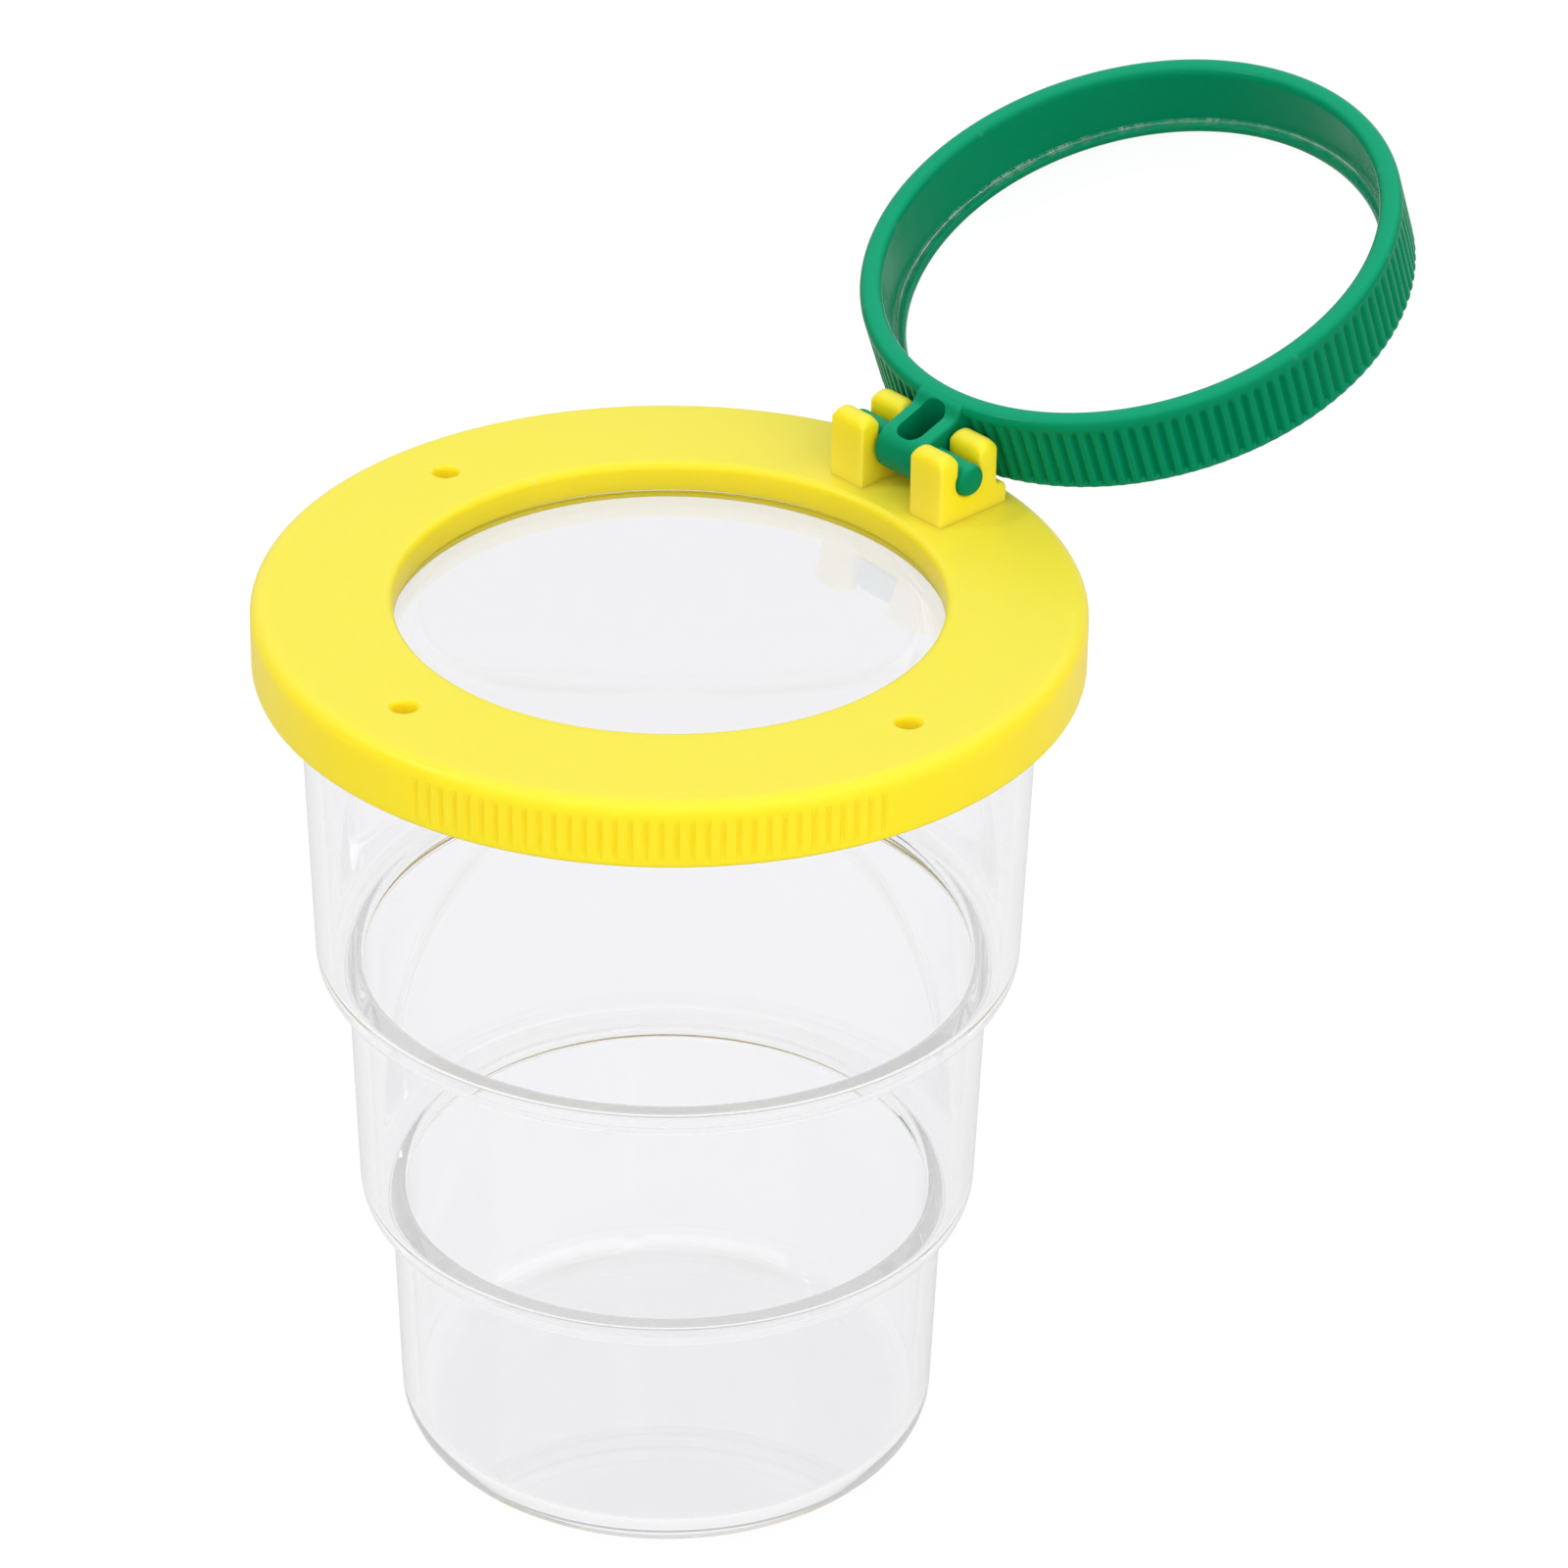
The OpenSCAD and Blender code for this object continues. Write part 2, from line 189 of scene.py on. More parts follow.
class ClipSizes(PropertyGroup):
    """Sizes of the two clips that hold the pin."""

    width: a_length("Width of a clip along the pin", 0.0045)
    inner: a_length("From the hinge's middle to a clip", 0.00335)
    reach: a_length("From the pin to a prong's outer face", 0.0038)
    mouth: a_length("Opening between the prongs", 0.0029)
    cradle: a_length("Radius of the cradle under the pin", 0.0017)
    foot_height: a_length("Height of the foot over the lid", 0.0023)
    foot_reach: a_length("From the pin to the foot's end", 0.00519)
    foot_fillet: a_length("Rounding between a prong and the foot", 0.00045)
    foot_round: a_length("Rounding of the foot's end", 0.0009)
    root: a_length("How deep the clips run into the lid", 0.0015)
    edge_round: a_length("Rounding of a clip's edges", 0.0003)
    tip_round: a_length("Rounding of the prongs' upper corners", 0.0011)
    tip_rise: a_length("Height of the crowned tips over the packed lid", 0.0003)


class MagnifierSizes(PropertyGroup):
    """Sizes of the green ring, its arm and its pin."""

    open_angle: an_angle("From closed on the lid to the drawn place", 160)
    ring_height: a_length("Height of the ring", 0.0085)
    ring_wall: a_length("Wall of the ring round its lens", 0.0023)
    arm_half: a_length("From the pin to the arm's face", 0.00255)
    rim_rise: a_length("Height of the rim face over the arm's face", 0.0009)
    rim_round: a_length("Rounding of the rim face", 0.0008)
    seat_width: a_length("Width of the ledge under the lens", 0.001)
    seat_thickness: a_length("Thickness of the ledge under the lens", 0.0012)
    ribs: a_count("Ribs round the ring", 120, 12)
    rib_gap: a_length("Width between two ribs", 0.00104)
    rib_depth: a_length("Depth between two ribs", 0.0005)
    rib_band: a_length("Band between the rim face and the ribs", 0.0009)
    rib_end: a_length("Band at the far edge where a groove runs out", 0.0007)
    rib_fade: a_length("Length over which a groove deepens", 0.0009)
    ramp_length: a_length("Length of the rise from the arm to the rim", 0.0017)
    arm_width: a_length("Width of the arm", 0.0061)
    arm_round: a_length("Rounding of the arm's edges", 0.0004)
    slot_width: a_length("Width of the slot in the arm", 0.0032)
    slot_depth: a_length("Depth of the slot in the arm", 0.0036)
    slot_near: a_length("From the pin to the slot's near end", 0.00072)
    slot_far: a_length("From the pin to the slot's far end", 0.0046)
    slot_corner: a_length("Rounding of the slot's corners", 0.0013)
    pin_radius: a_length("Radius of the pin", 0.00165)
    pin_half: a_length("Half the length of the pin", 0.0084)
    pin_round: a_length("Rounding of the pin's ends", 0.0007)


class LensSizes(PropertyGroup):
    """Sizes of the two clear lenses."""

    lid_edge: a_length("Thickness of the lid's lens at its rim", 0.0016)
    lid_flat: a_length("Width of the flat rim of the lid's lens", 0.002)
    lid_dome_up: a_length("Height of the upper dome of the lid's lens", 0.0018)
    lid_dome_down: a_length("Height of the lower dome of the lid's lens", 0.0004)
    glass_edge: a_length("Thickness of the ring's lens at its rim", 0.0012)
    glass_flat: a_length("Width of the flat rim of the ring's lens", 0.0016)
    glass_dome_in: a_length("Height of the dome on the rim side", 0.0022)
    glass_dome_out: a_length("Height of the dome on the far side", 0.0011)
    columns: a_count("Faces round a lens", 224, 32)


class Finishes(PropertyGroup):
    """Colours of the moulded plastics and the floor."""

    yellow: a_colour("Colour of the lid", (1.0, 0.757, 0.012))
    green: a_colour("Colour of the magnifier", (0.0, 0.228, 0.1))
    clear: a_colour("Tint of the jar", (0.917, 0.917, 0.928))
    lid_lens: a_colour("Tint of the lid's lens", (0.87, 0.87, 0.882))
    lens: a_colour("Tint of the magnifier's lens", (1.0, 1.0, 1.0))
    guided: a_colour("Tint of light that ran along inside the clear plastic", (0.985, 0.978, 0.975))
    floor: a_colour("Colour of the studio floor", (0.65, 0.65, 0.65))


class StudioView(PropertyGroup):
    """Place of the camera, as the object was seen."""

    aim: FloatVectorProperty(
        description="Point that the camera looks at", default=(0.01055, 0.00539, 0.07538),
        subtype="TRANSLATION", unit="LENGTH")
    distance: a_length("From the aim to the camera", 0.66)
    azimuth: an_angle("Direction of the camera from the aim", -43.11)
    elevation: an_angle("Height of the camera as an angle", 30.37)
    roll: an_angle("Turn of the camera about its own axis", 0.82)
    focal_length: FloatProperty(description="On a sensor 36 mm wide", default=157.5, min=1)


def in_mm(metres):
    """A length in the millimetres that the pieces are modelled in."""
    return metres / MM


def draw_line(name, points):
    """Draws a line of vertices through the points and leaves it in edit mode."""
    bpy.ops.object.select_all(action="DESELECT")
    bpy.ops.mesh.primitive_plane_add(size=1, location=CENTRE)
    piece = bpy.context.object
    piece.name = name
    piece.data.name = name
    bpy.ops.object.mode_set(mode="EDIT")
    choose_all()
    bpy.ops.mesh.merge(type="CENTER")
    bpy.ops.transform.translate(value=points[0])
    for start, end in zip(points, points[1:]):
        step = Vector(end) - Vector(start)
        bpy.ops.mesh.extrude_vertices_move(TRANSFORM_OT_translate={"value": step})
    return piece


def choose(piece, kind, test):
    """Selects, in edit mode, the vertices, edges or faces that lie wholly where the test says."""
    bpy.ops.mesh.select_mode(type=kind)
    bpy.ops.mesh.select_all(action="DESELECT")
    shape = bmesh.from_edit_mesh(piece.data)
    if kind == "VERT":
        for vertex in shape.verts:
            vertex.select_set(test(vertex.co))
    else:
        for part in shape.edges if kind == "EDGE" else shape.faces:
            part.select_set(all(test(corner.co) for corner in part.verts))
    shape.select_flush_mode()
    bmesh.update_edit_mesh(piece.data)


def choose_all():
    """Selects everything in edit mode, by vertices."""
    bpy.ops.mesh.select_mode(type="VERT")
    bpy.ops.mesh.select_all(action="SELECT")


def round_corners(piece, corners, size, segments):
    """Rounds a drawn line at its corners, given as places in the plane of the line."""
    wanted = [Vector(corner) for corner in corners]
    choose(piece, "VERT", lambda place: any((place - corner).length < CLOSE for corner in wanted))
    bpy.ops.mesh.bevel(offset=size, segments=segments, profile=0.5, affect="VERTICES")


def merge_close():
    """Merges vertices that lie on each other."""
    choose_all()
    bpy.ops.mesh.remove_doubles(threshold=MERGE)


def tidy_mesh():
    """Merges what the spins laid on each other and turns all faces outwards."""
    merge_close()
    bpy.ops.mesh.normals_make_consistent(inside=False)


def spin_round(columns):
    """Turns the drawn half section about the upright axis into a closed shape."""
    choose_all()
    bpy.ops.mesh.spin(steps=columns, angle=FULL_TURN, center=CENTRE, axis=UP)
    tidy_mesh()


def spin_columns(widths, radius):
    """Spins the selected line on in columns of the given widths, measured at a radius."""
    for width in widths:
        bpy.ops.mesh.spin(steps=1, angle=width / radius, center=CENTRE, axis=UP)


def repeat_round(copies, pitch):
    """Repeats everything about the upright axis, so that there are as many as copies."""
    choose_all()
    bpy.ops.mesh.spin(steps=copies - 1, dupli=True, angle=pitch * (copies - 1), center=CENTRE, axis=UP)
    merge_close()


def to_object_mode(piece):
    """Leaves edit mode with only the piece selected."""
    if bpy.context.mode != "OBJECT":
        bpy.ops.object.mode_set(mode="OBJECT")
    bpy.ops.object.select_all(action="DESELECT")
    piece.select_set(True)
    bpy.context.view_layer.objects.active = piece


def place(piece, matrix):
    """Puts the piece where the matrix says and works its place into its mesh."""
    to_object_mode(piece)
    piece.matrix_world = matrix
    bpy.ops.object.transform_apply(location=True, rotation=True, scale=True)


def finish_modifier(piece, kind, **settings):
    """Adds a modifier with its settings and applies it."""
    to_object_mode(piece)
    modifier = piece.modifiers.new(kind.title(), kind)
    for name, value in settings.items():
        setattr(modifier, name, value)
    bpy.ops.object.modifier_apply(modifier=modifier.name)


def combine(piece, other, operation):
    """Joins or cuts a piece with another, which is used up."""
    finish_modifier(piece, "BOOLEAN", operation=operation, object=other, solver="EXACT")
    bpy.data.objects.remove(other)


def join(pieces):
    """Makes one piece of several."""
    to_object_mode(pieces[0])
    for piece in pieces[1:]:
        piece.select_set(True)
    bpy.ops.object.join()
    return pieces[0]


def hand_over(piece, material, body, node):
    """Smooths the piece, gives it its finish and lets it stand for its node."""
    place(piece, Matrix.Diagonal((MM, MM, MM, 1)))
    bpy.ops.object.shade_smooth_by_angle(angle=SMOOTH_ANGLE)
    finish_modifier(piece, "WEIGHTED_NORMAL", keep_sharp=True, weight=NORMAL_WEIGHT)
    piece.data.materials.clear()
    piece.data.materials.append(material)
    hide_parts(node)
    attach(piece, body)


def on_hinge(sizes):
    """Matrix, in millimetres, from the closed magnifier with the pin at the origin to its drawn place."""
    turn = Matrix.Rotation(-sizes.open_angle, 4, "X")
    return Matrix.Translation(PIN / MM) @ turn


def arc(centre, radius, start, end, steps):
    """Points of an arc in the plane across the pin, given as (across, height)."""
    points = []
    for step in range(steps + 1):
        angle = start + (end - start) * step / steps
        points.append((centre[0] + radius * math.cos(angle), centre[1] + radius * math.sin(angle)))
    return points


def add_node(tree, kind, place_at, **settings):
    """Adds a shader node; settings that aren't the node's own set the input of that name."""
    node = tree.nodes.new("ShaderNode" + kind)
    node.location = place_at
    for name, value in settings.items():
        if hasattr(node, name):
            setattr(node, name, value)
        else:
            node.inputs[name.replace("_", " ").title()].default_value = value
    return node


def set_inputs(node, values):
    """Sets the values of inputs that nothing feeds."""
    for name, value in values.items():
        node.inputs[name].default_value = value


def wire(tree, *links):
    """Links nodes; each link gives a node, its output, the next node and its input."""
    for start, output, end, entry in links:
        tree.links.new(start.outputs[output], end.inputs[entry])


def new_group(name, inputs, outputs):
    """A shader node group with number inputs, each with a default, and number outputs."""
    group = bpy.data.node_groups.new(name, "ShaderNodeTree")
    for label, default in inputs.items():
        socket = group.interface.new_socket(label, in_out="INPUT", socket_type="NodeSocketFloat")
        socket.default_value = default
    for label in outputs:
        group.interface.new_socket(label, in_out="OUTPUT", socket_type="NodeSocketFloat")
    start = group.nodes.new("NodeGroupInput")
    end = group.nodes.new("NodeGroupOutput")
    start.location = (-900, 0)
    end.location = (700, 0)
    return group, start, end


def moulding_group():
    """Fine grain and slow flow marks of moulded plastic."""
    group, start, end = new_group(
        "Moulding marks", {"Grain Scale": 1400.0, "Flow Scale": 38.0}, ["Grain", "Flow"])
    where = add_node(group, "TexCoord", (-900, -250))
    grain = add_node(group, "TexNoise", (-500, 150), detail=3, roughness=0.6)
    flow = add_node(group, "TexNoise", (-500, -200), detail=4, roughness=0.5, distortion=0.8)
    wire(
        group, (where, "Object", grain, "Vector"), (where, "Object", flow, "Vector"),
        (start, "Grain Scale", grain, "Scale"), (start, "Flow Scale", flow, "Scale"),
        (grain, "Fac", end, "Grain"), (flow, "Fac", end, "Flow"))
    return group


def handling_group():
    """Masks of worn edges, and of faint scuffs and hairline scratches from handling."""
    group, start, end = new_group(
        "Handling marks", {"Scuff Scale": 90.0, "Scratch Scale": 420.0}, ["Edge", "Scuff", "Scratch"])
    where = add_node(group, "TexCoord", (-900, -250))
    bend = add_node(group, "NewGeometry", (-500, 400))
    edge = add_node(group, "MapRange", (-200, 400), from_min=0.52, from_max=0.62)
    scuff = add_node(group, "TexNoise", (-500, 100), detail=6, roughness=0.7)
    patch = add_node(group, "MapRange", (-200, 100), from_min=0.55, from_max=0.72)
    stretch = add_node(group, "Mapping", (-700, -250))
    set_inputs(stretch, {"Scale": (1.0, 0.08, 0.35), "Rotation": (0.4, 0.9, 0.6)})
    scratch = add_node(group, "TexNoise", (-500, -250), detail=2, roughness=0.5)
    hair = add_node(group, "MapRange", (-200, -250), from_min=0.64, from_max=0.7)
    wire(
        group, (bend, "Pointiness", edge, "Value"), (where, "Object", scuff, "Vector"),
        (where, "Object", stretch, "Vector"), (stretch, "Vector", scratch, "Vector"),
        (start, "Scuff Scale", scuff, "Scale"), (start, "Scratch Scale", scratch, "Scale"),
        (scuff, "Fac", patch, "Value"), (scratch, "Fac", hair, "Value"), (edge, "Result", end, "Edge"),
        (patch, "Result", end, "Scuff"), (hair, "Result", end, "Scratch"))
    return group


def sheen_and_dust_group():
    """Mask of the faces that look upwards, in uneven patches; on the opaque plastics it paints a paler sheen
    on the tops in place of light, on clear plastic a faint dust tint.
    """
    group, start, end = new_group("Upward sheen and dust", {"Patch Scale": 30.0}, ["Share"])
    where = add_node(group, "TexCoord", (-900, -250))
    facing = add_node(group, "NewGeometry", (-700, 200))
    parts = add_node(group, "SeparateXYZ", (-500, 200))
    level = add_node(group, "MapRange", (-300, 200), from_min=0.45, from_max=0.98)
    patch = add_node(group, "TexNoise", (-500, -200), detail=4, roughness=0.6)
    spread = add_node(group, "MapRange", (-300, -200), to_min=0.8)
    both = add_node(group, "Math", (200, 0), operation="MULTIPLY")
    wire(
        group, (facing, "Normal", parts, "Vector"), (parts, "Z", level, "Value"),
        (where, "Object", patch, "Vector"), (start, "Patch Scale", patch, "Scale"),
        (patch, "Fac", spread, "Value"), (level, "Result", both, 0), (spread, "Result", both, 1),
        (both, "Value", end, "Share"))
    return group


def new_material(name):
    """An empty node material with its output and shader."""
    material = bpy.data.materials.new(name)
    material.use_nodes = True
    tree = material.node_tree
    tree.nodes.clear()
    output = add_node(tree, "OutputMaterial", (900, 0))
    shader = add_node(tree, "BsdfPrincipled", (500, 0))
    wire(tree, (shader, "BSDF", output, "Surface"))
    return material, tree, shader, output


def place_group(tree, name, make, place_at):
    """The named node group in a material, made the first time that it is asked for."""
    node = add_node(tree, "Group", place_at)
    node.node_tree = bpy.data.node_groups.get(name) or make()
    return node


def blend_colours(tree, place_at, share, first, second):
    """A mix of two colours; the share and the first colour may be sockets."""
    mix = add_node(tree, "Mix", place_at)
    mix.data_type = "RGBA"
    tree.links.new(share, mix.inputs["Factor"])
    if isinstance(first, bpy.types.NodeSocket):
        tree.links.new(first, mix.inputs["A"])
    else:
        mix.inputs["A"].default_value = (*first, 1)
    mix.inputs["B"].default_value = (*second, 1)
    return mix.outputs["Result"]


def scale_value(tree, place_at, value, low, high):
    """A 0 to 1 value spread from low to high."""
    spread = add_node(tree, "MapRange", place_at, to_min=low, to_max=high)
    tree.links.new(value, spread.inputs["Value"])
    return spread.outputs["Result"]


def tone(colour, factor):
    """The colour made lighter or darker."""
    return tuple(min(1, part * factor) for part in colour)


def paler(colour, share):
    """The colour drawn towards white."""
    return tuple(part + (1 - part) * share for part in colour)


def moulded_plastic(name, colour, sheen_and_dust, worn_share, roughness, gloss, glow, glow_radius):
    """Satin moulded plastic with flow marks, fine grain, paler edges, faint scuffs and a painted sheen on the
    faces that look upwards.
    """
    material, tree, shader, _ = new_material(name)
    marks = place_group(tree, "Moulding marks", moulding_group, (-700, 200))
    wear = place_group(tree, "Handling marks", handling_group, (-700, -200))
    base = blend_colours(tree, (-300, 300), marks.outputs["Flow"], tone(colour, 0.96), tone(colour, 1.03))
    edge_share = scale_value(tree, (-300, 50), wear.outputs["Edge"], 0, worn_share)
    worn = blend_colours(tree, (0, 300), edge_share, base, paler(colour, 0.25))
    sheen_dust_mask = place_group(tree, "Upward sheen and dust", sheen_and_dust_group, (-300, 600))
    # Painted sheen: the faces that look upwards get the paler colour, which stands in for light falling on
    # the tops.
    with_sheen_and_dust = blend_colours(tree, (250, 300), sheen_dust_mask.outputs["Share"], worn, sheen_and_dust)
    tree.links.new(with_sheen_and_dust, shader.inputs["Base Color"])
    rough = scale_value(tree, (-300, -150), wear.outputs["Scuff"], roughness, roughness + SCUFF_ROUGHNESS)
    tree.links.new(rough, shader.inputs["Roughness"])
    bump = add_node(tree, "Bump", (200, -300), strength=0.06, distance=0.0002)
    wire(tree, (marks, "Grain", bump, "Height"), (bump, "Normal", shader, "Normal"))
    set_inputs(shader, {
        "IOR": 1.5, "Specular IOR Level": gloss, "Subsurface Weight": glow,
        "Subsurface Radius": glow_radius, "Subsurface Scale": 1.0})
    return material


def clear_plastic(name, tint, sheen_and_dust, led, scratches, bending):
    """Clear moulded plastic, with its tint under dust and the tint of light led along inside it."""
    material, tree, shader, output = new_material(name)
    wear = place_group(tree, "Handling marks", handling_group, (-700, -200))
    set_inputs(wear, {"Scuff Scale": 160.0})
    rough = scale_value(tree, (-300, -150), wear.outputs["Scratch"], *scratches)
    haze = blend_colours(tree, (-300, 200), wear.outputs["Scuff"], tint, tone(tint, 0.985))
    sheen_dust_mask = place_group(tree, "Upward sheen and dust", sheen_and_dust_group, (-300, 450))
    # On clear plastic the upward mask only darkens the tint a little, as dust.
    with_sheen_and_dust = blend_colours(tree, (100, 250), sheen_dust_mask.outputs["Share"], haze, tone(tint, sheen_and_dust))
    tree.links.new(with_sheen_and_dust, shader.inputs["Base Color"])
    tree.links.new(rough, shader.inputs["Roughness"])
    set_inputs(shader, {"IOR": bending, "Transmission Weight": 1.0})
    path = add_node(tree, "LightPath", (0, 500))
    lamps = add_node(tree, "Math", (200, 500), operation="MAXIMUM")
    trapped = add_node(tree, "Math", (200, 300), operation="GREATER_THAN")
    open_way = add_node(tree, "BsdfTransparent", (500, -250))
    guided = add_node(tree, "BsdfTransparent", (500, -450))
    set_inputs(trapped, {1: TRAPPED_BOUNCES})
    set_inputs(open_way, {"Color": (*tone(tint, 0.97), 1)})
    set_inputs(guided, {"Color": (*led, 1)})
    inside = add_node(tree, "MixShader", (650, 0))
    mix = add_node(tree, "MixShader", (800, 100))
    output.location = (1000, 0)
    wire(
        tree, (path, "Is Shadow Ray", lamps, 0), (path, "Is Diffuse Ray", lamps, 1),
        (path, "Glossy Depth", trapped, 0), (trapped, "Value", inside, "Fac"),
        (shader, "BSDF", inside, 1), (guided, "BSDF", inside, 2), (lamps, "Value", mix, "Fac"),
        (inside, "Shader", mix, 1), (open_way, "BSDF", mix, 2), (mix, "Shader", output, "Surface"))
    return material


def studio_floor(colour):
    """A matt pale floor that lights the object evenly and is seen white, with a faint shadow."""
    material, tree, shader, output = new_material("Studio floor")
    matt = {"Roughness": 0.9, "Specular IOR Level": 0.0}
    grain = add_node(tree, "TexNoise", (-300, 200), scale=12.0, detail=3)
    pale = blend_colours(tree, (0, 200), grain.outputs["Fac"], tone(colour, 0.995), colour)
    tree.links.new(pale, shader.inputs["Base Color"])
    set_inputs(shader, matt)
    soft = add_node(tree, "BsdfPrincipled", (500, -600))
    set_inputs(soft, {"Base Color": (*tone(colour, 0.2), 1), **matt})
    glow = add_node(tree, "Emission", (500, 400))
    both = add_node(tree, "AddShader", (700, 200))
    path = add_node(tree, "LightPath", (0, 600))
    seen = add_node(tree, "Math", (250, 600), operation="MAXIMUM")
    shown = add_node(tree, "Math", (450, 600), operation="MAXIMUM")
    mix = add_node(tree, "MixShader", (800, 0))
    bright = scale_value(tree, (250, 400), path.outputs["Is Transmission Ray"], low=0.89, high=0.95)
    mirrored = scale_value(tree, (250, 800), path.outputs["Is Glossy Ray"], low=0, high=0.35)
    tree.links.new(bright, glow.inputs["Strength"])
    tree.links.new(mirrored, shown.inputs[1])
    wire(
        tree, (path, "Is Camera Ray", seen, 0), (path, "Is Transmission Ray", seen, 1),
        (seen, "Value", shown, 0), (shown, "Value", mix, "Fac"), (soft, "BSDF", both, 0),
        (glow, "Emission", both, 1), (shader, "BSDF", mix, 1), (both, "Shader", mix, 2),
        (mix, "Shader", output, "Surface"))
    return material


class JAR_OT_cup(Operator):
    """Spins the stepped clear cup from its half section"""

    bl_idname = "bug_jar.cup"
    bl_label = "Clear Cup"

    def execute(self, context):
        sizes = context.scene.jar_sizes
        lean = math.tan(sizes.draft)
        height = in_mm(JAR_HIGH.z)
        low = in_mm(sizes.low_height)
        middle = low + in_mm(sizes.middle_height)
        wall = in_mm(sizes.wall)
        floor = in_mm(sizes.floor)
        ledge = in_mm(sizes.ledge)
        flange_radius = in_mm(JAR_HIGH.x)
        flange_low = height - in_mm(sizes.flange_height)
        mouth_radius = flange_radius - in_mm(sizes.flange_width)
        top_radius = mouth_radius - (height - middle) * lean
        middle_radius = top_radius - ledge - (middle - low) * lean
        base_radius = middle_radius - ledge - low * lean
        base = (base_radius, 0, 0)
        low_corner = (middle_radius - ledge, 0, low)
        middle_edge = (middle_radius, 0, low)
        middle_corner = (top_radius - ledge, 0, middle)
        top_edge = (top_radius, 0, middle)
        flange_corner = (mouth_radius - in_mm(sizes.flange_height) * lean, 0, flange_low)
        flange_edge = (flange_radius, 0, flange_low)
        mouth_edge = (flange_radius, 0, height)
        mouth_inner = (mouth_radius - wall, 0, height)
        top_inner = (top_radius - wall + floor * lean, 0, middle + floor)
        top_lip = (top_inner[0] - ledge, 0, middle + floor)
        middle_inner = (middle_radius - wall + floor * lean, 0, low + floor)
        middle_lip = (middle_inner[0] - ledge, 0, low + floor)
        well = (base_radius - wall + floor * lean, 0, floor)
        section = [
            (0, 0, 0), base, low_corner, middle_edge, middle_corner, top_edge, flange_corner, flange_edge,
            mouth_edge, mouth_inner, top_inner, top_lip, middle_inner, middle_lip, well, (0, 0, floor)]
        piece = draw_line("clear_cup", section)
        round_corners(piece, [base], in_mm(sizes.base_round), segments=10)
        round_corners(piece, [middle_edge], in_mm(sizes.middle_round), segments=7)
        round_corners(piece, [top_edge], in_mm(sizes.top_round), segments=7)
        ledge_corners = [top_inner, top_lip, middle_inner, middle_lip]
        round_corners(piece, ledge_corners, in_mm(sizes.inner_round), segments=5)
        round_corners(piece, [well], in_mm(sizes.base_round) - wall, segments=8)
        small_corners = [low_corner, middle_corner, mouth_inner, mouth_edge, flange_edge]
        round_corners(piece, small_corners, in_mm(sizes.small_round), segments=4)
        spin_round(sizes.columns)
        colours = context.scene.finishes
        finish = clear_plastic(
            "Clear jar plastic", colours.clear, sheen_and_dust=0.94, led=colours.guided,
            scratches=(0.01, 0.04), bending=1.57)
        hand_over(piece, finish, "jar", "jar")
        return {"FINISHED"}


